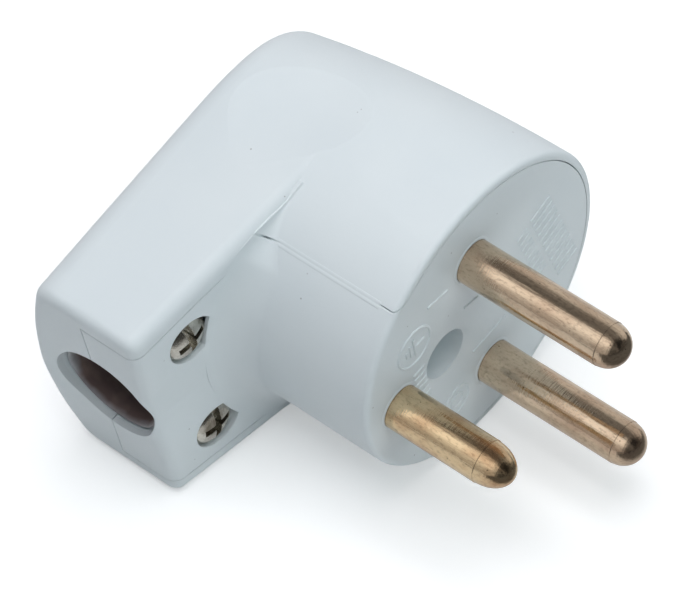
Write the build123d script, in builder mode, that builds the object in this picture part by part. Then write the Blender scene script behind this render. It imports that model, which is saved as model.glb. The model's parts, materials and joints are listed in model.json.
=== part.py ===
from build123d import *
from math import acos, asin, atan2, cos, degrees, hypot, radians, sin, sqrt
import os

# Angled mains plug with three round pins and a side cable entry.
# The plug's own frame: the origin is the centre of the round contact face, midway between
# the line and neutral pins. +X runs along the pins, away from the face. The cable arm
# points to -Y, and Z runs across the width. Depth is counted back from the face, to -X.
# At the end every piece is rolled about X, so that the plug lies on its flank.

# Housing outside
body_radius = 17.8
body_depth = 33.4
back_radius = 46.0
straight_depth = 17.0
draft_depth = 32.0
flank_draft = 1.5
far_draft = 3.2
arm_length = 28.7
arm_end_half_width = 14.2
end_crown = 0.8
arm_front_depth = 18.4
arm_front_lean = 7.3
front_round = 1.5
back_round = 3.0
end_round = 1.5
rim_round = 0.6
section_depths = (0, 9, 17, 25, 34)

# Shallow thumb dish on each flank
dish_depth = 21.5
dish_reach = 0.6
dish_hollow = 0.6
dish_lean = 4.6
dish_back_tilt = 3.5
dish_long_radius = 65.0
dish_cross_radius = 38.0
dish_width = 16.4
dish_length = 20.0

# Walls and the joint between cover and base
wall = 2.0
end_wall = 3.0
face_thickness = 3.0
seat_radius = 16.8
joint_gap = 0.1
base_end_half_width = 11.9
base_body_half_width = 14.0
base_body_reach = 11.3
base_corner_round = 1.5
base_inner_reach = 7.0
base_side_wall = 1.5
parting_depth = 25.4

# Pins
pin_radius = 2.4
pin_neck_radius = 2.2
pin_neck_end = 0.15
pin_spacing = 19.0
earth_offset = 13.1
live_pin_length = 19.0
earth_pin_length = 14.2
flange_radius = 3.6
flange_thickness = 1.5
barrel_radius = 3.0
barrel_length = 6.5
pin_clearance = 0.05
pin_ring_depth = 0.06
earth_nose_length = 3.3

# Terminal screws and their cup washers
terminal_hole_radius = 1.5
terminal_hole_depth = 5.5
washer_radius = 3.0
washer_thickness = 0.9
terminal_head_radius = 2.7
terminal_head_height = 2.0

# Pin retainer and its screws
pad_margin = 4.4
retainer_thickness = 2.0
retainer_wall_gap = 0.3
retainer_screw_reach = 7.7
retainer_screw_side = 6.4
retainer_screw_radius = 1.1
retainer_head_radius = 2.1
retainer_head_height = 1.5
retainer_screw_length = 4.2

# Blind hole in the contact face
face_hole_radius = 2.85
face_hole_reach = 5.95
face_hole_depth = 3.6

# Cable entry
cable_radius = 5.2
cable_depth = 24.5
mouth_flare = 0.6

# Housing screws and their inserts
screw_reach = 22.1
screw_side = 8.2
screw_radius = 1.5
screw_head_radius = 2.65
screw_head_height = 1.8
screw_recess_radius = 2.85
screw_seat_depth = 19.9
screw_end_gap = 1.1
screw_clearance = 0.15
bush_radius = 3.9
pillar_radius = 2.8
pillar_end_depth = 25.4
insert_radius = 2.1
insert_length = 4.0
boss_radius = 3.0
slot_width = 0.8
slot_depth = 0.9
slot_end_wall = 0.8
cross_end_wall = 1.3
head_round_share = 0.6

# Cord grip
grip_reach = 15.0
grip_side = 8.3
grip_pillar_radius = 2.5
grip_thickness = 2.6
grip_width = 5.0
grip_half_length = 10.6
grip_arch_radius = 5.6
grip_arch_wall = 0.8
grip_screw_radius = 1.25
grip_head_radius = 2.2
grip_head_height = 1.7
grip_head_gap = 1.3
grip_screw_length = 7.0

thread_gap = 0.05

# Hook that holds the far side of the base in the cover
hook_width = 7.0
hook_wall = 1.6
hook_inner = 13.4
hook_tip = 16.2
hook_start_depth = 5.5
hook_end_depth = 7.5
hook_tip_land = 0.4
hook_gap = 0.15


# Housing outline across the pins at one depth

def radius_at(depth):
    behind = max(0.0, depth - straight_depth)
    return body_radius - flank_draft * (behind / (draft_depth - straight_depth)) ** 2


def centre_at(depth):
    far_side = body_radius - far_draft * (depth / draft_depth) ** 2
    return far_side - radius_at(depth)


def housing_outline(depth, inset=0.0):
    """Round body joined by tangent flanks to the slightly crowned end of the arm."""
    radius = radius_at(depth) - inset
    centre = centre_at(depth)
    end = arm_length - inset
    half_width = arm_end_half_width - inset
    reach = hypot(end + centre, half_width)
    bearing = atan2(half_width, -(end + centre))
    touch = degrees(bearing - acos(radius / reach))
    with BuildSketch(Plane.YZ.offset(-depth)) as outline:
        with BuildLine():
            round_end = CenterArc((centre, 0), radius, -touch, 2 * touch)
            Line(round_end @ 1, (-end, half_width))
            ThreePointArc((-end, half_width), (-end - end_crown, 0), (-end, -half_width))
            Line((-end, -half_width), round_end @ 0)
        make_face()
    return outline.sketch


def back_depth_at(side):
    """Depth of the crowned back at a place across the width."""
    return body_depth - back_radius + sqrt(back_radius ** 2 - side ** 2)


def crowned_block(depths, inset=0.0):
    """The outline lofted from the face to the back, which is crowned across the width."""
    with BuildPart() as block:
        loft(sections=[housing_outline(depth, inset) for depth in depths])
        with BuildSketch(Plane.XZ.offset(2 * arm_length)):
            with Locations((back_radius - body_depth, 0)):
                Circle(back_radius - inset)
        extrude(amount=-4 * arm_length, mode=Mode.INTERSECT)
    return block.part


def arm_front_plane(inset=0.0):
    """Plane of the arm's leaning front, facing the way the pins point."""
    lean = radians(arm_front_lean)
    normal = Vector(cos(lean), -sin(lean), 0)
    corner = Vector(-arm_front_depth, -arm_length, 0)
    return Plane(origin=corner - normal * inset, x_dir=(0, 0, 1), z_dir=normal)


def space_before_arm(inset=0.0):
    """What lies in front of the arm and outside the round body."""
    with BuildPart() as space:
        with BuildSketch(Plane.YZ.offset(1)):
            with Locations((-arm_length, 0)):
                Rectangle(2 * arm_length, 4 * body_radius)
            Circle(body_radius + thread_gap - inset, mode=Mode.SUBTRACT)
        extrude(amount=-body_depth)
        split(bisect_by=arm_front_plane(inset), keep=Keep.TOP)
    return space.part


def disc(plane, radius, thickness):
    """A round piece standing on a plane."""
    with BuildPart() as piece:
        with BuildSketch(plane):
            Circle(radius)
        extrude(amount=thickness)
    return piece.part


def across(y, z, depth):
    """Plane facing the back of the plug, at a place across the pins."""
    return Plane(origin=(-depth, y, z), x_dir=(0, 1, 0), z_dir=(-1, 0, 0))


def thumb_dish():
    """What is cut from the upper flank: hollow along the plug, arched across it."""
    lean = radians(dish_lean)
    tilt = radians(dish_back_tilt)
    outward = Vector(-sin(tilt), cos(tilt) * sin(lean), cos(tilt) * cos(lean))
    bottom = Vector(-dish_depth, -dish_reach, radius_at(dish_depth) - dish_hollow)
    arch = Plane(
        origin=bottom - outward * dish_cross_radius, x_dir=outward, z_dir=(cos(tilt), 0, sin(tilt))
    )
    with BuildPart(arch) as dish:
        Torus(dish_cross_radius + dish_long_radius, dish_long_radius)
        with Locations((dish_cross_radius, 0, 0)):
            Box(dish_width, dish_width, dish_length, mode=Mode.INTERSECT)
    return dish.part


# The arm and everything behind its front, with all front edges rounded
with BuildPart() as arm_block:
    add(crowned_block(section_depths))
    back_face = arm_block.faces().sort_by(Axis.X)[0]
    fillet(back_face.edges().sort_by(Axis.Y)[1:], back_round)
    end_face = arm_block.faces().sort_by(Axis.Y)[0]
    fillet(end_face.edges().sort_by(Axis.X)[:-1], end_round)
    split(bisect_by=arm_front_plane(), keep=Keep.BOTTOM)
    fillet(arm_block.faces().sort_by(Axis.X)[-1].edges(), front_round)

# The housing's outside: the round body joined to the arm
with BuildPart() as envelope:
    add(crowned_block(section_depths))
    with BuildSketch(Plane.YZ.offset(1)):
        Circle(body_radius + thread_gap)
    extrude(amount=-(arm_front_depth + 2 * wall), mode=Mode.INTERSECT)
    add(arm_block.part)
    fillet(envelope.edges().group_by(Axis.X)[-1], rim_round)
    add(thumb_dish(), mode=Mode.SUBTRACT)
    add(mirror(thumb_dish(), about=Plane.XY), mode=Mode.SUBTRACT)

with BuildPart() as cavity:
    add(crowned_block((face_thickness, *section_depths[1:]), wall))
    add(space_before_arm(wall), mode=Mode.SUBTRACT)
    split(bisect_by=Plane.XZ.offset(arm_length - end_wall), keep=Keep.BOTTOM)
    inner_back = cavity.faces().sort_by(Axis.X)[0]
    fillet(inner_back.edges().sort_by(Axis.Y)[1:], back_round - wall)


# The base fills the round face, the wall towards the arm and the front half of the arm

def base_block(reach, gap=0.0, depth=parting_depth):
    """Straight-sided block that the front half of the arm and its wall are cut from."""
    lean = (base_body_half_width - base_end_half_width) / (arm_length - base_body_reach)
    inner_half = base_body_half_width + lean * (base_body_reach - reach) + gap
    outer = 2 * arm_length
    outer_half = base_body_half_width + lean * (base_body_reach - outer) + gap
    with BuildPart() as block:
        with BuildSketch(Plane.YZ.offset(1)):
            Polygon(
                (-reach, inner_half),
                (-outer, outer_half),
                (-outer, -outer_half),
                (-reach, -inner_half),
                align=None,
            )
        extrude(amount=-(depth + 1))
    return block.part


def base_zone(gap=0.0):
    """Room that the base takes inside the housing's outside shape."""
    with BuildPart() as zone:
        with BuildSketch(Plane.YZ.offset(1)):
            Circle(seat_radius + gap)
        extrude(amount=-(face_thickness + 1 + gap))
        add(base_block(base_inner_reach - gap, gap, parting_depth + gap))
        corners = zone.edges().filter_by(Axis.X).filter_by_position(Axis.Y, -base_body_reach, 0)
        fillet(corners, base_corner_round)
    return zone.part


# Cable entry, cut half in the cover and half in the base
entry_plane = Plane(origin=(-cable_depth, -arm_length, 0), x_dir=(1, 0, 0), z_dir=(0, 0, 1))

with BuildPart() as cable_bore:
    with BuildSketch(entry_plane):
        with BuildLine():
            inner = Line((0, end_wall + 1), (cable_radius, end_wall + 1))
            side = Line(inner @ 1, (cable_radius, 2 * mouth_flare))
            flare = Line(side @ 1, (cable_radius + mouth_flare, 0))
            lip = Line(flare @ 1, (cable_radius + mouth_flare, -2 * end_crown))
            Polyline(lip @ 1, (0, -2 * end_crown), inner @ 0)
        make_face()
    revolve(axis=Axis(entry_plane.origin, (0, 1, 0)))

line_place = (0, pin_spacing / 2)
neutral_place = (0, -pin_spacing / 2)
earth_place = (-earth_offset, 0)
pin_places = [line_place, neutral_place, earth_place]
screw_places = [(-screw_reach, screw_side), (-screw_reach, -screw_side)]
grip_places = [(-grip_reach, grip_side), (-grip_reach, -grip_side)]
retainer_places = [
    (-retainer_screw_reach, retainer_screw_side),
    (-retainer_screw_reach, -retainer_screw_side),
]

# Room inside the cover: the cavity without the part that the base fills
insert_depth = pillar_end_depth + joint_gap
screw_length = insert_depth + insert_length - screw_end_gap - screw_seat_depth
grip_back_depth = back_depth_at(grip_side + grip_head_radius) - wall
grip_top_depth = grip_back_depth - grip_head_gap - grip_head_height
grip_depth = grip_top_depth - grip_thickness

with BuildPart() as chamber:
    add(cavity.part)
    add(base_block(base_inner_reach, 2 * wall), mode=Mode.SUBTRACT)


# Rear cover
with BuildPart() as rear_cover:
    add(envelope.part)
    add(chamber.part, mode=Mode.SUBTRACT)
    add(base_zone(joint_gap), mode=Mode.SUBTRACT)
    for y, z in screw_places:
        boss_length = back_depth_at(screw_side + boss_radius) - wall / 2 - insert_depth
        add(disc(across(y, z, insert_depth), boss_radius, boss_length))
        add(disc(across(y, z, insert_depth), insert_radius, insert_length), mode=Mode.SUBTRACT)
    with BuildSketch(Plane.YZ.offset(-hook_start_depth + hook_gap)):
        with Locations((hook_tip + hook_gap, 0)):
            pocket_width = hook_width + 2 * hook_gap
            Rectangle(hook_tip - hook_inner, pocket_width, align=(Align.MAX, Align.CENTER))
    extrude(amount=hook_start_depth - hook_end_depth - 2 * hook_gap, mode=Mode.SUBTRACT)
    add(cable_bore.part, mode=Mode.SUBTRACT)
rear_cover.part.label = "rear_cover"


# Front base with its pin seats, screw pillars and hook
with BuildPart() as base_hollow:
    add(cavity.part)
    add(base_block(-body_radius, -base_side_wall, body_depth), mode=Mode.INTERSECT)

pad_depth = face_thickness + flange_thickness
barrel_end_depth = pad_depth + barrel_length
retainer_depth = pad_depth + retainer_thickness
retainer_screw_end = retainer_depth - retainer_screw_length

with BuildPart() as front_base:
    add(envelope.part)
    add(base_zone(), mode=Mode.INTERSECT)
    add(base_hollow.part, mode=Mode.SUBTRACT)
    with BuildSketch(Plane.YZ.offset(-face_thickness / 2)):
        with BuildLine():
            for y, z in pin_places:
                CenterArc((y, z), pad_margin, 0, 360)
        make_hull()
    extrude(amount=face_thickness / 2 - pad_depth)
    for y, z in pin_places:
        add(disc(across(y, z, -1), pin_radius + pin_clearance, pad_depth), mode=Mode.SUBTRACT)
        seat = across(y, z, face_thickness)
        add(disc(seat, flange_radius + pin_clearance, flange_thickness + 1), mode=Mode.SUBTRACT)
        add(disc(seat, barrel_radius + 3 * pin_clearance, 4 * barrel_length), mode=Mode.SUBTRACT)
    for y, z in retainer_places:
        hole = across(y, z, retainer_screw_end - thread_gap)
        hole_radius = retainer_screw_radius + thread_gap
        add(disc(hole, hole_radius, retainer_screw_length), mode=Mode.SUBTRACT)
    face_hole = across(-face_hole_reach, 0, -1)
    add(disc(face_hole, face_hole_radius, face_hole_depth + 1), mode=Mode.SUBTRACT)
    for y, z in screw_places:
        foot = across(y, z, arm_front_depth)
        add(disc(foot, bush_radius, screw_seat_depth + 1 - arm_front_depth))
        add(disc(foot, pillar_radius, pillar_end_depth - arm_front_depth))
        mouth = across(y, z, arm_front_depth - wall)
        shank_room = screw_radius + screw_clearance
        add(disc(mouth, shank_room, pillar_end_depth), mode=Mode.SUBTRACT)
        recess_depth = screw_seat_depth - arm_front_depth + wall
        add(disc(mouth, screw_recess_radius, recess_depth), mode=Mode.SUBTRACT)
    for y, z in grip_places:
        foot = across(y, z, arm_front_depth - wall / 2)
        add(disc(foot, grip_pillar_radius, grip_depth - arm_front_depth + wall / 2))
        top = across(y, z, grip_top_depth - grip_screw_length - thread_gap)
        add(disc(top, grip_screw_radius + thread_gap, grip_screw_length), mode=Mode.SUBTRACT)
    with BuildSketch(Plane.XY.offset(-hook_width / 2)):
        Polygon(
            (-face_thickness / 2, hook_inner),
            (-hook_end_depth, hook_inner),
            (-hook_end_depth, hook_inner + hook_wall),
            (-hook_start_depth - hook_tip_land, hook_tip),
            (-hook_start_depth, hook_tip),
            (-hook_start_depth, hook_inner + hook_wall),
            (-face_thickness / 2, hook_inner + hook_wall),
            align=None,
        )
    extrude(amount=hook_width)
    add(cable_bore.part, mode=Mode.SUBTRACT)
front_base.part.label = "front_base"


# Turned pins: shank, seat flange and terminal barrel with a threaded end

def turned_pin(place, length, nose_length):
    """One pin. A nose as long as the pin's radius is a half ball, a longer one is pointed."""
    y, z = place
    pin_plane = Plane(origin=(0, y, z), x_dir=(1, 0, 0), z_dir=(0, 0, 1))
    shoulder = length - nose_length
    with BuildPart() as pin:
        with BuildSketch(pin_plane):
            with BuildLine():
                barrel_end = Line((-barrel_end_depth, 0), (-barrel_end_depth, barrel_radius))
                barrel = Line(barrel_end @ 1, (-pad_depth, barrel_radius))
                back = Line(barrel @ 1, (-pad_depth, flange_radius))
                flange = Line(back @ 1, (-face_thickness, flange_radius))
                front = Line(flange @ 1, (-face_thickness, pin_neck_radius))
                neck = Line(front @ 1, (pin_neck_end, pin_neck_radius))
                step = Line(neck @ 1, (pin_neck_end, pin_radius))
                shank = Line(step @ 1, (shoulder, pin_radius))
                Line(shank @ 1, (shoulder, pin_radius - pin_ring_depth))
                tip_radius = pin_radius - pin_ring_depth
                EllipticalCenterArc(
                    (shoulder, 0), nose_length, tip_radius, start_angle=0, arc_size=90
                )
                Line((length, 0), barrel_end @ 0)
            make_face()
        revolve(axis=Axis(pin_plane.origin, (1, 0, 0)))
        hole = across(y, z, barrel_end_depth - terminal_hole_depth)
        add(disc(hole, terminal_hole_radius, terminal_hole_depth), mode=Mode.SUBTRACT)
    return pin


def washer(place, radius, hole_radius, depth, thickness):
    """A flat ring round a screw."""
    with BuildPart() as ring:
        with BuildSketch(across(*place, depth)):
            Circle(radius)
            Circle(hole_radius, mode=Mode.SUBTRACT)
        extrude(amount=thickness)
    return ring


def screw(place, head_depth, head_radius, head_height, shank_radius, length, towards_back):
    """Pan-head screw with a slot crossed by a shorter one. Its head sits at head_depth."""
    facing = -1 if towards_back else 1
    y, z = place
    seat = Plane(origin=(-head_depth, y, z), x_dir=(0, 1, 0), z_dir=(facing, 0, 0))
    with BuildPart() as fastener:
        with BuildSketch(seat):
            Circle(head_radius)
        extrude(amount=head_height)
        top_edge = fastener.edges().sort_by(Axis(seat.origin, seat.z_dir))[-1]
        fillet(top_edge, head_round_share * head_height)
        with BuildSketch(seat):
            Circle(shank_radius)
        extrude(amount=-length)
        with BuildSketch(seat.offset(head_height)):
            Rectangle(2 * (head_radius - slot_end_wall), slot_width)
            Rectangle(slot_width, 2 * (head_radius - cross_end_wall))
        extrude(amount=-slot_depth, mode=Mode.SUBTRACT)
    return fastener


pins = {
    "line": (line_place, turned_pin(line_place, live_pin_length, pin_radius)),
    "neutral": (neutral_place, turned_pin(neutral_place, live_pin_length, pin_radius)),
    "earth": (earth_place, turned_pin(earth_place, earth_pin_length, earth_nose_length)),
}
finished = [rear_cover, front_base]
for name, (place, pin) in pins.items():
    pin.part.label = f"{name}_pin"
    cup_washer = washer(
        place, washer_radius, terminal_hole_radius, barrel_end_depth, washer_thickness
    )
    cup_washer.part.label = f"{name}_cup_washer"
    terminal_screw = screw(
        place,
        barrel_end_depth + washer_thickness,
        terminal_head_radius,
        terminal_head_height,
        terminal_hole_radius - thread_gap,
        terminal_hole_depth,
        True,
    )
    terminal_screw.part.label = f"{name}_terminal_screw"
    finished += [pin, cup_washer, terminal_screw]


# Retainer plate that traps the pin flanges, with its two screws
with BuildPart() as pin_retainer:
    with BuildSketch(Plane.YZ.offset(-pad_depth)):
        with BuildLine():
            for y, z in pin_places:
                CenterArc((y, z), pad_margin, 0, 360)
        make_hull()
        Circle(body_radius - wall - retainer_wall_gap, mode=Mode.INTERSECT)
        for place in pin_places:
            with Locations(place):
                Circle(barrel_radius + 2 * pin_clearance, mode=Mode.SUBTRACT)
        for place in retainer_places:
            with Locations(place):
                Circle(retainer_screw_radius + thread_gap, mode=Mode.SUBTRACT)
    extrude(amount=-retainer_thickness)
pin_retainer.part.label = "pin_retainer"
finished.append(pin_retainer)

# Cord grip: an arched bar on two pillars of the base
with BuildPart() as cord_grip:
    with BuildSketch(Plane.YZ.offset(-grip_depth)):
        with Locations((-grip_reach, 0)):
            SlotOverall(2 * grip_half_length, grip_width, rotation=90)
        for place in grip_places:
            with Locations(place):
                Circle(grip_screw_radius + thread_gap, mode=Mode.SUBTRACT)
    extrude(amount=-grip_thickness)
    grip_arch_depth = grip_top_depth - grip_arch_wall - grip_arch_radius
    arch = Plane(origin=(-grip_arch_depth, -grip_reach, 0), x_dir=(1, 0, 0), z_dir=(0, 1, 0))
    with BuildSketch(arch.offset(-grip_width)):
        Circle(grip_arch_radius)
    extrude(amount=2 * grip_width, mode=Mode.SUBTRACT)
cord_grip.part.label = "cord_grip"
finished.append(cord_grip)

for side, retainer_place, grip_place, screw_place in zip(
    ("upper", "lower"), retainer_places, grip_places, screw_places
):
    retainer_screw = screw(
        retainer_place,
        retainer_depth,
        retainer_head_radius,
        retainer_head_height,
        retainer_screw_radius,
        retainer_screw_length,
        True,
    )
    retainer_screw.part.label = f"{side}_retainer_screw"
    grip_screw = screw(
        grip_place,
        grip_top_depth,
        grip_head_radius,
        grip_head_height,
        grip_screw_radius,
        grip_screw_length,
        True,
    )
    grip_screw.part.label = f"{side}_grip_screw"
    housing_screw = screw(
        screw_place,
        screw_seat_depth,
        screw_head_radius,
        screw_head_height,
        screw_radius,
        screw_length,
        False,
    )
    housing_screw.part.label = f"{side}_housing_screw"
    insert = washer(
        screw_place,
        insert_radius - thread_gap,
        screw_radius + thread_gap,
        insert_depth,
        insert_length,
    )
    insert.part.label = f"{side}_threaded_insert"
    finished += [retainer_screw, grip_screw, housing_screw, insert]


# Lying pose: the flank that joins the round body to the arm's end is level
corner_reach = hypot(arm_length, arm_end_half_width)
lying_tilt = degrees(asin(body_radius / corner_reach) - atan2(arm_end_half_width, arm_length))
lying = Location((0, 0, 0), (lying_tilt, 0, 0))

os.makedirs("parts", exist_ok=True)
for piece in finished:
    export_step(piece.part.moved(lying), f"parts/{piece.part.label}.step")
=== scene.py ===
import json
import math

import bmesh
import bpy
from mathutils import Matrix, Vector


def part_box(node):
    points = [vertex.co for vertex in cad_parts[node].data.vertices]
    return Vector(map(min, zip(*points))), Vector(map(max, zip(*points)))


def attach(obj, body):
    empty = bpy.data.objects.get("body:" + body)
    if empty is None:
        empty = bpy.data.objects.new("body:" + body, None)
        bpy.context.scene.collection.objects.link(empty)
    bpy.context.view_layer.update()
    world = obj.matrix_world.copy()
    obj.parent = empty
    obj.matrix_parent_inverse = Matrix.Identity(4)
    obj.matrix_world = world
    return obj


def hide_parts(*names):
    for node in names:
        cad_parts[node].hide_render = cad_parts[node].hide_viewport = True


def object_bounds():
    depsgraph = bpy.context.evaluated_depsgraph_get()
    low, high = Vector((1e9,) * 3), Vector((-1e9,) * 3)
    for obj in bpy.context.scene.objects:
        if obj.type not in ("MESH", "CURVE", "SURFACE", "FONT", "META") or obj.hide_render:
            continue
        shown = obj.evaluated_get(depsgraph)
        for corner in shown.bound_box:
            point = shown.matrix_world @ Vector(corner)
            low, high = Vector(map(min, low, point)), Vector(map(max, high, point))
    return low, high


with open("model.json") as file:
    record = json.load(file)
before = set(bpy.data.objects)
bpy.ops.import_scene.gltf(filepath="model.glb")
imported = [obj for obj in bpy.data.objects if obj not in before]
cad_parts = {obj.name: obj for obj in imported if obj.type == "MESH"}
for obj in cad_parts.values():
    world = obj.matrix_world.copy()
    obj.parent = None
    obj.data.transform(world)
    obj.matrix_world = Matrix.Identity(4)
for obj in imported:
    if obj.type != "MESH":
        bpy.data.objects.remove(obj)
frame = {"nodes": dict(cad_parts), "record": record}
cad_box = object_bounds()

MM = 0.001


# Colours are written as they look on a screen, and turned to the linear values that shaders take

def linear(red, green, blue):
    def channel(value):
        value /= 255
        return value / 12.92 if value <= 0.04045 else ((value + 0.055) / 1.055) ** 2.4

    return (channel(red), channel(green), channel(blue), 1.0)


def feed(tree, socket, source):
    """Links a socket to an input, or sets the input to a plain value."""
    if isinstance(source, bpy.types.NodeSocket):
        tree.links.new(source, socket)
    elif source is not None:
        socket.default_value = source


def add_node(tree, kind, *sources, **settings):
    """A node with its settings and its inputs in order. None leaves an input as it is."""
    made = tree.nodes.new(kind)
    for name, value in settings.items():
        setattr(made, name, value)
    for socket, source in zip(made.inputs, sources):
        feed(tree, socket, source)
    return made


class Shader:
    """Builds one material's node tree."""

    def __init__(self, name, roughness, metallic=0.0):
        self.material = bpy.data.materials.new(name)
        self.material.use_nodes = True
        self.tree = self.material.node_tree
        self.surface = self.tree.nodes["Principled BSDF"]
        self.surface.inputs["Roughness"].default_value = roughness
        self.surface.inputs["Metallic"].default_value = metallic
        self.place = self.node("ShaderNodeTexCoord").outputs["Object"]

    def node(self, kind, *sources, **settings):
        return add_node(self.tree, kind, *sources, **settings)

    def noise(self, scale, detail=3.0, stretch=(1.0, 1.0, 1.0)):
        """Noise whose features are about 1/scale metres wide, or wider along a stretched axis."""
        mapping = self.node("ShaderNodeMapping", self.place)
        mapping.inputs["Scale"].default_value = stretch
        noise = self.node("ShaderNodeTexNoise", mapping.outputs["Vector"])
        noise.inputs["Scale"].default_value = scale
        noise.inputs["Detail"].default_value = detail
        return noise.outputs["Fac"]

    def spread(self, factor, low, high, at=(0.3, 0.7)):
        """Maps a factor to a range of values."""
        return self.node("ShaderNodeMapRange", factor, *at, low, high).outputs["Result"]

    def blend(self, factor, first, second):
        """Mixes two colours, each a plain colour or a socket."""
        mix = self.node("ShaderNodeMix", factor, data_type="RGBA")
        colours = [socket for socket in mix.inputs if socket.type == "RGBA"]
        feed(self.tree, colours[0], first)
        feed(self.tree, colours[1], second)
        return next(socket for socket in mix.outputs if socket.type == "RGBA")

    def math(self, operation, *values):
        """One sum, of sockets or plain numbers."""
        return self.node("ShaderNodeMath", *values, operation=operation).outputs["Value"]

    def specks(self, spacing, radius, share):
        """1 inside small scattered dots, 0 elsewhere. Sizes are in metres."""
        cells = self.node("ShaderNodeTexVoronoi", self.place)
        cells.inputs["Scale"].default_value = 1 / spacing
        chance = self.node("ShaderNodeSeparateColor", cells.outputs["Color"])
        core, rim = 0.6 * radius / spacing, radius / spacing
        inside = self.spread(cells.outputs["Distance"], 1.0, 0.0, (core, rim))
        return self.math("MULTIPLY", inside, self.math("GREATER_THAN", chance.outputs["Red"], 1 - share))

    def colour(self, source):
        feed(self.tree, self.surface.inputs["Base Color"], source)

    def rough(self, source):
        feed(self.tree, self.surface.inputs["Roughness"], source)

    def bump(self, height, distance, strength=1.0, edge=0.0):
        """Fine relief. Edges look rounded by a radius of edge."""
        bump = self.node("ShaderNodeBump")
        if edge:
            rounded = self.node("ShaderNodeBevel", edge)
            rounded.samples = EDGE_SAMPLES
            feed(self.tree, bump.inputs["Normal"], rounded.outputs["Normal"])
        bump.inputs["Distance"].default_value = distance
        bump.inputs["Strength"].default_value = strength
        feed(self.tree, bump.inputs["Height"], height)
        feed(self.tree, self.surface.inputs["Normal"], bump.outputs["Normal"])


# Feature sizes in the materials: noise scales are per metre, lengths are in metres

EDGE_SAMPLES = 6
EDGE_RADIUS = 0.00012
TONE_SCALE = 60.0
GRAIN_SCALE = 2600.0
GRAIN_DEPTH = 0.00002
DIRT_SPACING, DIRT_RADIUS, DIRT_STRENGTH = 0.002, 0.00011, 0.55
DIRT_COLOUR = linear(120, 118, 116)

PATCH_SCALE = 420.0
GRIME_SCALE = 4000.0
STREAK_SCALE = 3200.0
RING_SCALE = 5200.0
SPOT_SPACING, SPOT_RADIUS, SPOT_SHARE, SPOT_STRENGTH = 0.0009, 0.00010, 0.45, 0.6
METAL_DEPTH = 0.00004

# The sleeve's colours: light at the mouth and dark brown deeper in, where painted shade darkens the
# sleeve's own brown
SLEEVE_SHADE_FADE = (-0.0283, -0.0266)
SLEEVE_MOUTH = linear(190, 194, 198)
SLEEVE_SHADED_INSIDE = linear(112, 92, 88)
SLEEVE_PATCH = linear(150, 128, 120)


def moulded_plastic(name, light, shade, roughness, speck_share=0.0):
    """Slightly uneven tone, a very fine moulded grain and a few specks of dirt."""
    shader = Shader(name, roughness)
    tone = shader.blend(shader.spread(shader.noise(TONE_SCALE), 0.0, 1.0), light, shade)
    if speck_share:
        dots = shader.specks(DIRT_SPACING, DIRT_RADIUS, speck_share)
        tone = shader.blend(shader.math("MULTIPLY", dots, DIRT_STRENGTH), tone, DIRT_COLOUR)
    shader.colour(tone)
    grain = shader.noise(GRAIN_SCALE, 4.0)
    shader.rough(shader.spread(grain, roughness - 0.05, roughness + 0.07))
    shader.bump(grain, GRAIN_DEPTH, 0.3, edge=EDGE_RADIUS)
    return shader.material


def turned_metal(name, bright, dull, stain, roughness, mottling=0.65):
    """Turned metal with patches of tarnish, grime, dark spots, lengthwise streaks and fine rings."""
    shader = Shader(name, roughness, metallic=1.0)
    patches = shader.noise(PATCH_SCALE, 6.0, (0.45, 1.0, 1.0))
    tone = shader.blend(shader.spread(patches, 0.0, mottling, (0.42, 0.68)), bright, dull)
    grime = shader.noise(GRIME_SCALE, 4.0, (0.5, 1.0, 1.0))
    tone = shader.blend(shader.spread(grime, 0.0, 0.34, (0.5, 0.75)), tone, stain)
    dots = shader.specks(SPOT_SPACING, SPOT_RADIUS, SPOT_SHARE)
    shader.colour(shader.blend(shader.math("MULTIPLY", dots, SPOT_STRENGTH), tone, stain))
    streaks = shader.noise(STREAK_SCALE, 5.0, (0.08, 1.0, 1.0))
    rings = shader.noise(RING_SCALE, 2.0, (1.0, 0.05, 0.05))
    relief = shader.math("ADD", streaks, shader.math("MULTIPLY", rings, 0.5))
    shader.rough(shader.spread(patches, roughness, roughness + 0.14, (0.35, 0.7)))
    shader.bump(relief, METAL_DEPTH, 0.7, edge=EDGE_RADIUS)
    return shader.material


def sleeve_plastic_with_painted_shade():
    """Brown inside, fading to the housing's colour at the mouth: the darkening deeper into the bore is
    painted shade over the sleeve's own brown.
    """
    shader = Shader("sleeve", 0.6)
    along = shader.node("ShaderNodeSeparateXYZ", shader.place)
    uneven = shader.math("MULTIPLY", shader.math("SUBTRACT", shader.noise(260.0, 3.0), 0.5), 0.003)
    # Painted shade: the colour darkens with depth into the bore
    depth = shader.spread(shader.math("ADD", along.outputs["Y"], uneven), 0.0, 1.0, SLEEVE_SHADE_FADE)
    tone = shader.blend(depth, SLEEVE_MOUTH, SLEEVE_SHADED_INSIDE)
    patches = shader.spread(shader.noise(PATCH_SCALE, 2.0), 0.0, 0.5, (0.5, 0.7))
    shader.colour(shader.blend(shader.math("MULTIPLY", patches, depth), tone, SLEEVE_PATCH))
    shader.bump(shader.noise(1500.0), 0.00003, 0.4)
    return shader.material


MATERIALS = {
    "sleeve": sleeve_plastic_with_painted_shade(),
    "white_plastic": moulded_plastic(
        "white_plastic", linear(227, 233, 235), linear(222, 229, 232), 0.38, speck_share=0.2
    ),
    "inner_plastic": moulded_plastic("inner_plastic", linear(122, 106, 102), linear(98, 84, 82), 0.6),
    "brass": turned_metal(
        "brass", linear(224, 201, 174), linear(192, 160, 134), linear(84, 60, 46), 0.11
    ),
    "earth_brass": turned_metal(
        "earth_brass", linear(229, 203, 164), linear(186, 142, 104), linear(84, 58, 34), 0.11, 0.8
    ),
    "plated_steel": turned_metal(
        "plated_steel", linear(216, 213, 203), linear(134, 126, 112), linear(60, 54, 46), 0.16, 1.0
    ),
}

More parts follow.
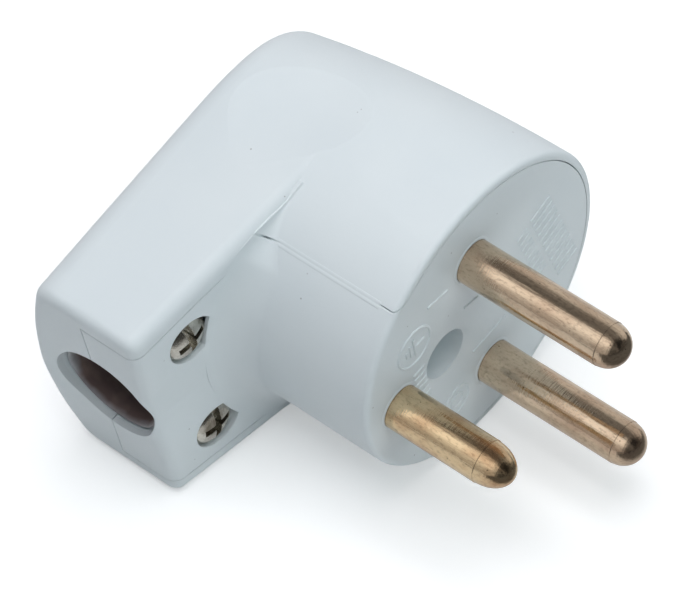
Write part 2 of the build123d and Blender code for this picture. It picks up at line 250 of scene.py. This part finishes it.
for subpart in frame["record"]["subparts"]:
    piece = frame["nodes"][subpart["node"]]
    piece.data.materials.clear()
    piece.data.materials.append(MATERIALS[subpart["material_slot"]])


# The plug's own frame: the pins along X, the arm towards -Y, the flanks level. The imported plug
# lies on one flank, so this frame is turned about X. Lengths below are in millimetres.

BODY_RADIUS = 17.8
ARM_LENGTH = 28.7
END_HALF_WIDTH = 14.2
ARM_REACH = math.hypot(ARM_LENGTH, END_HALF_WIDTH)

PLUG_TURN = math.asin(BODY_RADIUS / ARM_REACH) - math.atan2(END_HALF_WIDTH, ARM_LENGTH)
TO_PART = Matrix.Rotation(PLUG_TURN, 4, "X") @ Matrix.Scale(MM, 4)
TO_PLUG = TO_PART.inverted()


def add_piece(name, data, slot, *replaced):
    """Links a piece, gives it its material and fixes it to the plug's one body."""
    piece = bpy.data.objects.new(name, data)
    bpy.context.scene.collection.objects.link(piece)
    data.materials.clear()
    data.materials.append(MATERIALS[slot])
    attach(piece, "root")
    if replaced:
        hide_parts(*replaced)
    return piece


def mesh_of(shape, name):
    """Turns a bmesh into a mesh and frees it."""
    mesh = bpy.data.meshes.new(name)
    shape.to_mesh(mesh)
    shape.free()
    return mesh


def smooth(mesh, sharp_degrees):
    """Shades a mesh smooth, but for edges sharper than an angle."""
    for face in mesh.polygons:
        face.use_smooth = True
    mesh.set_sharp_from_angle(angle=math.radians(sharp_degrees))
    return mesh


def ease(value, start, end):
    """Goes smoothly from 0 at start to 1 at end."""
    share = min(1.0, max(0.0, (value - start) / (end - start)))
    return share * share * (3 - 2 * share)


# The two mouldings with a flatter arm end and a wider cable mouth

END_CROWN = 0.8
END_ZONE = (-27.6, -24.0)
BACK_EDGE_ZONE = (-32.6, -28.0)
MOUTH_CENTRE = (-24.5, 0.0)
MOUTH_SHIFT = (-0.5, 0.1)
BORE_GROWTH, RIM_GROWTH = 0.52, 0.15
RIM_ZONE = (5.25, 5.75)
MOUTH_ZONE = (6.0, 9.0)
MOUTH_START = -20.0


def fit_arm_end(point):
    """Moves one point of a moulding, in the plug's frame."""
    x, y, z = point
    outer = 1 - ease(y, *END_ZONE)
    if outer > 0 and abs(z) < END_HALF_WIDTH:
        front = ease(x, *BACK_EDGE_ZONE)
        y += END_CROWN * (1 - (z / END_HALF_WIDTH) ** 2) * front * outer
    across, up = x - MOUTH_CENTRE[0], z - MOUTH_CENTRE[1]
    away = math.hypot(across, up)
    if away > 0.1 and point.y < MOUTH_START:
        near = 1 - ease(away, *MOUTH_ZONE)
        widened = BORE_GROWTH + (RIM_GROWTH - BORE_GROWTH) * ease(away, *RIM_ZONE)
        growth = 1 + near * widened / away
        x = MOUTH_CENTRE[0] + across * growth + MOUTH_SHIFT[0] * near * (across / away) ** 2
        z = MOUTH_CENTRE[1] + up * growth + MOUTH_SHIFT[1] * near
    return Vector((x, y, z))


for node_name, piece_name in (("rear_cover", "rear_moulding"), ("front_base", "front_moulding")):
    mesh = frame["nodes"][node_name].data.copy()
    for vertex in mesh.vertices:
        vertex.co = TO_PART @ fit_arm_end(TO_PLUG @ vertex.co)
    add_piece(piece_name, mesh, "white_plastic", node_name)


# Fillets between the round body and the arm's front, and webs that close most of the wall's seam

WALL_RADIUS = 17.85
FRONT_DEPTH = 18.4
FRONT_LEAN = math.radians(7.3)
FILLET_RADIUS = 3.2
EDGE_MARGIN = 0.75
FILLET_STEPS = 14
SEAM_BEARING = 52.15
SEAM_HALF_WIDTH = 1.3
WEB_ENDS = (-17.6, -1.2)
WEB_FLAT = (-15.0, -2.0)
WEB_FOOT = 17.4
WEB_RISE, WEB_FALL, GROOVE_DEPTH, WEB_TAPER = 0.011, 0.016, 0.02, 0.08
TOUCH_BEARING = math.degrees(
    math.atan2(END_HALF_WIDTH, ARM_LENGTH) + math.acos(WALL_RADIUS / ARM_REACH)
)


def outward_at(bearing):
    """Direction out from the body's axis, by degrees from -Y towards +Z."""
    turn = math.radians(bearing)
    return Vector((0, -math.cos(turn), math.sin(turn)))


def fillet_section(bearing):
    """One slice of a fillet, in the plug's frame: the hollow arc, and tails that run under both faces."""
    outward = outward_at(bearing)
    room = WALL_RADIUS * (1 / math.cos(math.radians(TOUCH_BEARING - abs(bearing))) - 1)
    radius = max(0.1, min(FILLET_RADIUS, 0.72 * (room - EDGE_MARGIN)))
    tail = min(0.5, 0.4 * radius)

    def point(reach, rise):
        place = outward * (WALL_RADIUS + reach)
        place.x = -FRONT_DEPTH + (place.y + ARM_LENGTH) * math.tan(FRONT_LEAN) + rise
        return place

    arc = [math.radians(90 * step / FILLET_STEPS) for step in range(FILLET_STEPS + 1)]
    hollow = [point(radius * (1 - math.sin(turned)), radius * (1 - math.cos(turned))) for turned in arc]
    return [
        point(radius + tail, -0.04), *hollow, point(-0.04, radius + tail),
        point(-0.5, radius + tail), point(-0.5, -0.5), point(radius + tail, -0.5),
    ]


def wall_section(bearing):
    """One slice of a strip that fills the wall's seam, flush but for a faint groove along its middle."""
    across = ((abs(bearing) - SEAM_BEARING) / SEAM_HALF_WIDTH) ** 2
    groove = GROOVE_DEPTH * max(0.0, 1 - across) ** 12
    face = WALL_RADIUS + WEB_RISE - WEB_FALL * across - groove
    corners = (
        (face, WEB_FLAT[0]), (face, WEB_FLAT[1]), (face - WEB_TAPER, WEB_ENDS[1]),
        (WEB_FOOT, WEB_ENDS[1]), (WEB_FOOT, WEB_ENDS[0]), (face - WEB_TAPER, WEB_ENDS[0]),
    )
    return [outward_at(bearing) * radius + Vector((depth, 0, 0)) for radius, depth in corners]


def add_sweep(name, section, start, end, steps):
    """A closed solid through the slices from one bearing about the body's axis to another."""
    shape = bmesh.new()
    slices = []
    for step in range(steps + 1):
        bearing = start + (end - start) * step / steps
        slices.append([shape.verts.new(TO_PART @ point) for point in section(bearing)])
    for first, second in zip(slices, slices[1:]):
        for place in range(len(first)):
            following = (place + 1) % len(first)
            shape.faces.new((first[place], first[following], second[following], second[place]))
    shape.faces.new(slices[0])
    shape.faces.new(list(reversed(slices[-1])))
    bmesh.ops.recalc_face_normals(shape, faces=shape.faces)
    add_piece(name, smooth(mesh_of(shape, name), 40), "white_plastic")


add_sweep("front_fillet", fillet_section, -51.5, 51.5, 60)
add_sweep("upper_cover_fillet", fillet_section, 52.2, 72.0, 24)
add_sweep("lower_cover_fillet", fillet_section, -72.0, -52.2, 24)
add_sweep("upper_seam_web", wall_section, 50.85, 53.45, 24)
add_sweep("lower_seam_web", wall_section, -53.45, -50.85, 24)


def lathe(name, slot, profile, axis_place, direction, *replaced, steps=64):
    """A turned piece: (radius, distance along the axis) pairs spun about a line in the plug's frame."""
    shape = bmesh.new()
    rings = []
    for radius, along in profile:
        ring = []
        for step in range(steps if radius > 0 else 1):
            angle = 2 * math.pi * step / steps
            ring.append(shape.verts.new((radius * math.cos(angle), radius * math.sin(angle), along)))
        rings.append(ring)
    for lower, upper in zip(rings, rings[1:] + rings[:1]):
        if len(lower) == 1 and len(upper) == 1:
            continue
        for step in range(steps):
            following = (step + 1) % steps
            corners = [lower[step % len(lower)], lower[following % len(lower)],
                       upper[following % len(upper)], upper[step % len(upper)]]
            shape.faces.new(dict.fromkeys(corners))
    bmesh.ops.recalc_face_normals(shape, faces=shape.faces)
    turn = Vector((0, 0, 1)).rotation_difference(Vector(direction)).to_matrix().to_4x4()
    shape.transform(TO_PART @ (Matrix.Translation(axis_place) @ turn))
    return add_piece(name, smooth(mesh_of(shape, name), 35), slot, *replaced)


# Collars that close the fine relief at each pin's root, and the plastic lips round them

PIN_PLACES = {"line": (0, 9.5), "neutral": (0, -9.5), "earth": (-13.1, 0)}
COLLAR = ((2.19, 0.01), (2.36, 0.01), (2.385, 0.05), (2.385, 0.15), (2.19, 0.15))
LIP = ((2.4, -0.2), (2.4, 0.08), (2.5, 0.07), (2.72, 0.005), (2.72, -0.2))

for pin, (y, z) in PIN_PLACES.items():
    pin_slot = "earth_brass" if pin == "earth" else "brass"
    lathe(f"{pin}_pin_collar", pin_slot, COLLAR, (0, y, z), (1, 0, 0))
    lathe(f"{pin}_pin_lip", "white_plastic", LIP, (0, y, z), (1, 0, 0))


# The sleeve inside the cable mouth, its brown darkened deeper in by painted shade

lathe(
    "cord_sleeve", "sleeve",
    ((5.3, -8.0), (5.3, -1.3), (5.36, -0.9), (5.5, -0.75), (5.62, -0.8), (5.62, -8.0)),
    (-24.85, -28.7, 0.1), (0, -1, 0),
)


# Raised moulded marks on the contact face: an earth symbol, a ring and plain ribs

def add_marks(name, strokes, height):
    """Round-backed ridges along lines in the face, given as lists of (y, z)."""
    curve = bpy.data.curves.new(name, "CURVE")
    curve.dimensions = "3D"
    curve.bevel_depth = height
    curve.bevel_resolution = 2
    curve.use_fill_caps = True
    for stroke, closed in strokes:
        line = curve.splines.new("POLY")
        line.points.add(len(stroke) - 1)
        line.use_cyclic_u = closed
        for point, (y, z) in zip(line.points, stroke):
            point.co = (*(TO_PART @ Vector((0.0, y, z))), 1.0)
    return add_piece(name, curve, "white_plastic")


def round_line(y, z, radius, steps=40):
    turns = [2 * math.pi * step / steps for step in range(steps)]
    return [(y + radius * math.cos(turn), z + radius * math.sin(turn)) for turn in turns]


def ribs(start, end, count, height, lean=0.0):
    """Short parallel ribs set out evenly from start to end."""
    made = []
    for step in range(count):
        share = step / (count - 1)
        y = start[0] + (end[0] - start[0]) * share
        z = start[1] + (end[1] - start[1]) * share
        made.append(([(y - height / 2, z - lean), (y + height / 2, z + lean)], False))
    return made


EARTH_Y, EARTH_Z = -9.6, 6.3
RING_Y, RING_Z = -5.7, -9.4
BOLD, MEDIUM, FINE = 0.15 * MM, 0.14 * MM, 0.13 * MM

earth_symbol = [
    ([(EARTH_Y + 1.5, EARTH_Z), (EARTH_Y, EARTH_Z)], False),
    ([(EARTH_Y, EARTH_Z - 1.4), (EARTH_Y, EARTH_Z + 1.4)], False),
    ([(EARTH_Y - 0.6, EARTH_Z - 0.9), (EARTH_Y - 0.6, EARTH_Z + 0.9)], False),
    ([(EARTH_Y - 1.2, EARTH_Z - 0.4), (EARTH_Y - 1.2, EARTH_Z + 0.4)], False),
    (round_line(EARTH_Y, EARTH_Z, 2.4), True),
]
add_marks("earth_mark", earth_symbol, BOLD)
double_ring = [(round_line(RING_Y, RING_Z, 1.9), True), (round_line(RING_Y, RING_Z, 0.9), True)]
add_marks("ring_mark", double_ring, MEDIUM)
add_marks("grip_ribs_upper", ribs((10.2, 5.6), (12.6, -7.4), 12, 3.2, 0.35), BOLD)
add_marks("grip_ribs_inner", ribs((7.2, 4.6), (8.8, -4.2), 9, 1.7, 0.2), FINE)
add_marks("grip_ribs_lower", ribs((-9.7, 2.0), (-9.7, -4.6), 8, 1.7), FINE)
bars = [
    ([(-2.3, -4.65), (2.9, -4.75)], False),
    ([(-2.3, 3.7), (-0.2, 3.1)], False),
    ([(-3.9, 9.3), (-6.9, 9.9)], False),
]
add_marks("centre_bars", bars, MEDIUM)


# Housing screws with a domed head, a slot and a shorter cross slot

SCREW_PLACE = -22.1
HEAD_RADIUS = 2.76
HEAD_RISE = 0.75
HEAD_PROFILE = (
    (0.0, 0.0), (0.9, -0.04), (1.6, -0.17), (2.1, -0.38), (2.5, -0.68), (HEAD_RADIUS, -1.05),
    (HEAD_RADIUS, -2.0), (1.4, -2.05),
)
SLOT_WIDTH = 0.85
SLOT_DEPTH = 1.15
SLOT_LENGTH = 2 * HEAD_RADIUS - 1.1
CROSS_LENGTH = 2 * HEAD_RADIUS - 2.0


def add_cutter(name, place, size, turn):
    """A block that a screw's slot is cut with."""
    shape = bmesh.new()
    bmesh.ops.create_cube(shape, size=1.0)
    shape.transform(
        TO_PART @ Matrix.Translation(place) @ Matrix.Rotation(turn, 4, "X")
        @ Matrix.Diagonal((*size, 1.0))
    )
    cutter = bpy.data.objects.new(name, mesh_of(shape, name))
    bpy.context.scene.collection.objects.link(cutter)
    return cutter


def add_housing_screw(node_name, z, turn):
    low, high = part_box(node_name)
    top, foot = high.x / MM + HEAD_RISE, low.x / MM
    place = (top, SCREW_PLACE, z)
    shank = ((1.4, foot - top + 0.3), (1.1, foot - top), (0.0, foot - top))
    screw = lathe(
        node_name.replace("housing", "cover"), "plated_steel", (*HEAD_PROFILE, *shank),
        place, (1, 0, 0), node_name, steps=72,
    )
    blocks = (
        add_cutter("slot_block", place, (2 * SLOT_DEPTH, SLOT_WIDTH, SLOT_LENGTH), turn),
        add_cutter("cross_block", place, (2 * SLOT_DEPTH, CROSS_LENGTH, SLOT_WIDTH), turn),
    )
    for block in blocks:
        cut = screw.modifiers.new(block.name, "BOOLEAN")
        cut.operation = "DIFFERENCE"
        cut.solver = "EXACT"
        cut.object = block
    bpy.context.view_layer.update()
    finished = bpy.data.meshes.new_from_object(screw.evaluated_get(bpy.context.evaluated_depsgraph_get()))
    screw.modifiers.clear()
    for block in blocks:
        bpy.data.objects.remove(block)
    screw.data = finished
    finished.set_sharp_from_angle(angle=math.radians(30))
    rim = screw.modifiers.new("rim", "BEVEL")
    rim.width = 0.1 * MM
    rim.segments = 2
    rim.angle_limit = math.radians(40)


add_housing_screw("upper_housing_screw", 8.2, math.radians(4))
add_housing_screw("lower_housing_screw", -8.2, math.radians(-9))


# The photograph's view: where the camera looks, from what side, how far off, and its small roll

VIEW_TARGET = Vector((-10.200, -8.070, 0.778)) * MM
VIEW_AZIMUTH = math.radians(43.15)
VIEW_ELEVATION = math.radians(52.66)
VIEW_DISTANCE = 443.8 * MM
VIEW_ROLL = math.radians(-4.50)
SENSOR_WIDTH = 36.0
FOCAL_SHARE = 4500 / 700


def unit(azimuth, elevation):
    """Direction out to a point seen round the plug. Azimuth 0 is towards -Y and 90 towards +X."""
    level = math.cos(elevation)
    return Vector((math.sin(azimuth) * level, -math.cos(azimuth) * level, math.sin(elevation)))


def look(obj, place, target, roll=0.0):
    """Places a camera or a lamp and turns it to a point."""
    back = (place - target).normalized()
    right = Vector((0, 0, 1)).cross(back).normalized()
    up = back.cross(right)
    turned_right = right * math.cos(roll) + up * math.sin(roll)
    turned_up = back.cross(turned_right)
    obj.matrix_world = Matrix.Translation(place) @ Matrix(
        (turned_right, turned_up, back)
    ).transposed().to_4x4()


def add_camera():
    data = bpy.data.cameras.new("camera")
    data.sensor_width = SENSOR_WIDTH
    data.lens = SENSOR_WIDTH * FOCAL_SHARE
    data.clip_start = 0.01
    camera = bpy.data.objects.new("camera", data)
    bpy.context.scene.collection.objects.link(camera)
    place = VIEW_TARGET + unit(VIEW_AZIMUTH, VIEW_ELEVATION) * VIEW_DISTANCE
    look(camera, place, VIEW_TARGET, VIEW_ROLL)
    bpy.context.scene.camera = camera


LAMP_DISTANCE = 0.6
LAMP_SIZE = 0.5


def add_lamp(name, azimuth, elevation, power, tint=(1.0, 1.0, 1.0)):
    """A square soft lamp aimed at the plug, which shiny surfaces don't mirror."""
    data = bpy.data.lights.new(name, "AREA")
    data.size = LAMP_SIZE
    data.energy = power
    data.color = tint
    lamp = bpy.data.objects.new(name, data)
    bpy.context.scene.collection.objects.link(lamp)
    lamp.visible_glossy = False
    direction = unit(math.radians(azimuth), math.radians(elevation))
    look(lamp, VIEW_TARGET + direction * LAMP_DISTANCE, VIEW_TARGET)


# What polished metal reflects, by degrees from +Y up over the top to -Y: brightness of each strip
STRIPS = (
    (-180, 0.40), (-20, 0.60), (28, 0.62), (42, 0.40), (52, 0.20), (88, 0.13), (98, 0.45),
    (107, 0.92), (120, 1.10), (134, 0.98), (150, 0.62), (168, 0.45), (180, 0.40),
)
DARK_SIDE = (0.35, 0.75)
DARK_SIDE_LEVEL = 0.12


def add_world(strength, tint):
    """Even light from all round. The camera sees it as white, and shiny surfaces see long strips
    of light and dark that run along the pins."""
    world = bpy.data.worlds.new("studio")
    bpy.context.scene.world = world
    world.use_nodes = True
    tree = world.node_tree

    def node(kind, *sources, **settings):
        return add_node(tree, kind, *sources, **settings)

    ambient = tree.nodes["Background"]
    ambient.inputs["Color"].default_value = (*tint, 1.0)
    ambient.inputs["Strength"].default_value = strength
    white = node("ShaderNodeBackground", (1.0, 1.0, 1.0, 1.0))

    towards = node("ShaderNodeSeparateXYZ", node("ShaderNodeTexCoord").outputs["Generated"])
    bearing = node("ShaderNodeMath", towards.outputs["Z"], towards.outputs["Y"], operation="ARCTAN2")
    turn = node("ShaderNodeMapRange", bearing.outputs["Value"], -math.pi, math.pi)
    strips = node("ShaderNodeValToRGB", turn.outputs["Result"])
    stops = strips.color_ramp.elements
    while len(stops) > 1:
        stops.remove(stops[-1])
    for place, (degrees, level) in enumerate(STRIPS):
        stop = stops[0] if place == 0 else stops.new((degrees + 180) / 360)
        stop.position = (degrees + 180) / 360
        stop.color = (level, level, level, 1.0)
    side = node("ShaderNodeMapRange", towards.outputs["X"], *DARK_SIDE, 1.0, DARK_SIDE_LEVEL,
                interpolation_type="SMOOTHSTEP")
    shiny = node("ShaderNodeBackground", strips.outputs["Color"], side.outputs["Result"])

    rays = node("ShaderNodeLightPath")
    glossy = node("ShaderNodeMixShader", rays.outputs["Is Glossy Ray"],
                  ambient.outputs["Background"], shiny.outputs["Background"])
    seen = node("ShaderNodeMixShader", rays.outputs["Is Camera Ray"],
                glossy.outputs["Shader"], white.outputs["Background"])
    feed(tree, tree.nodes["World Output"].inputs["Surface"], seen.outputs["Shader"])


FLOOR_HALF_WIDTH = 1.5
FLOOR_WHITE = (0.86, 0.86, 0.86, 1.0)
PAINTED_REFLECTION_BLACK = (0.02, 0.02, 0.02, 1.0)
FLOOR_LIFT = 0.35
# Where and how strongly the floor is painted black for shiny surfaces only: a painted dark reflection
PAINTED_REFLECTION_ZONE = (0.017, 0.032)
PAINTED_REFLECTION_SHARES = (0.4, 0.92)


def add_floor():
    """A wide pale floor at the plug's lowest point, lifted to white for the camera, with a painted dark
    reflection: a strip that only shiny surfaces see, near black, in what the pins mirror."""
    half = FLOOR_HALF_WIDTH
    level = cad_box[0].z
    mesh = bpy.data.meshes.new("floor")
    corners = [(-half, -half, level), (half, -half, level), (half, half, level), (-half, half, level)]
    mesh.from_pydata(corners, [], [(0, 1, 2, 3)])
    floor = bpy.data.objects.new("floor", mesh)
    bpy.context.scene.collection.objects.link(floor)
    material = bpy.data.materials.new("floor")
    material.use_nodes = True
    tree = material.node_tree

    def node(kind, *sources, **settings):
        return add_node(tree, kind, *sources, **settings)

    paper = tree.nodes["Principled BSDF"]
    paper.inputs["Base Color"].default_value = FLOOR_WHITE
    paper.inputs["Roughness"].default_value = 0.9
    paper.inputs["Specular IOR Level"].default_value = 0.1
    rays = node("ShaderNodeLightPath")
    seen = node("ShaderNodeMath", rays.outputs["Is Camera Ray"], rays.outputs["Is Glossy Ray"],
                operation="MAXIMUM")
    lift = node("ShaderNodeMath", seen.outputs["Value"], FLOOR_LIFT, operation="MULTIPLY")
    glow = node("ShaderNodeEmission", None, lift.outputs["Value"])
    both = node("ShaderNodeAddShader", paper.outputs["BSDF"], glow.outputs["Emission"])

    # Painted dark reflection: a strip of floor that glossy rays alone see as near black
    spot = node("ShaderNodeSeparateXYZ", node("ShaderNodeTexCoord").outputs["Object"])
    side = node("ShaderNodeMapRange", spot.outputs["X"], *PAINTED_REFLECTION_ZONE, *PAINTED_REFLECTION_SHARES,
                interpolation_type="SMOOTHSTEP")
    shade = node("ShaderNodeMath", side.outputs["Result"], rays.outputs["Is Glossy Ray"],
                 operation="MULTIPLY")
    painted_dark_reflection = node("ShaderNodeBsdfDiffuse", PAINTED_REFLECTION_BLACK)
    split = node("ShaderNodeMixShader", shade.outputs["Value"], both.outputs["Shader"],
                 painted_dark_reflection.outputs["BSDF"])
    feed(tree, tree.nodes["Material Output"].inputs["Surface"], split.outputs["Shader"])
    mesh.materials.append(material)


add_camera()
add_floor()
add_world(0.12, (0.62, 0.86, 1.0))
add_lamp("top_lamp", 0, 89, 2.7, (1.0, 0.98, 1.0))
add_lamp("left_lamp", 270, 40, 0.4)
add_lamp("right_lamp", 90, 40, 0.95, (0.9, 1.0, 0.99))
add_lamp("back_lamp", 180, 40, 0.33, (0.97, 0.96, 1.0))
bpy.context.scene.view_settings.view_transform = "Standard"
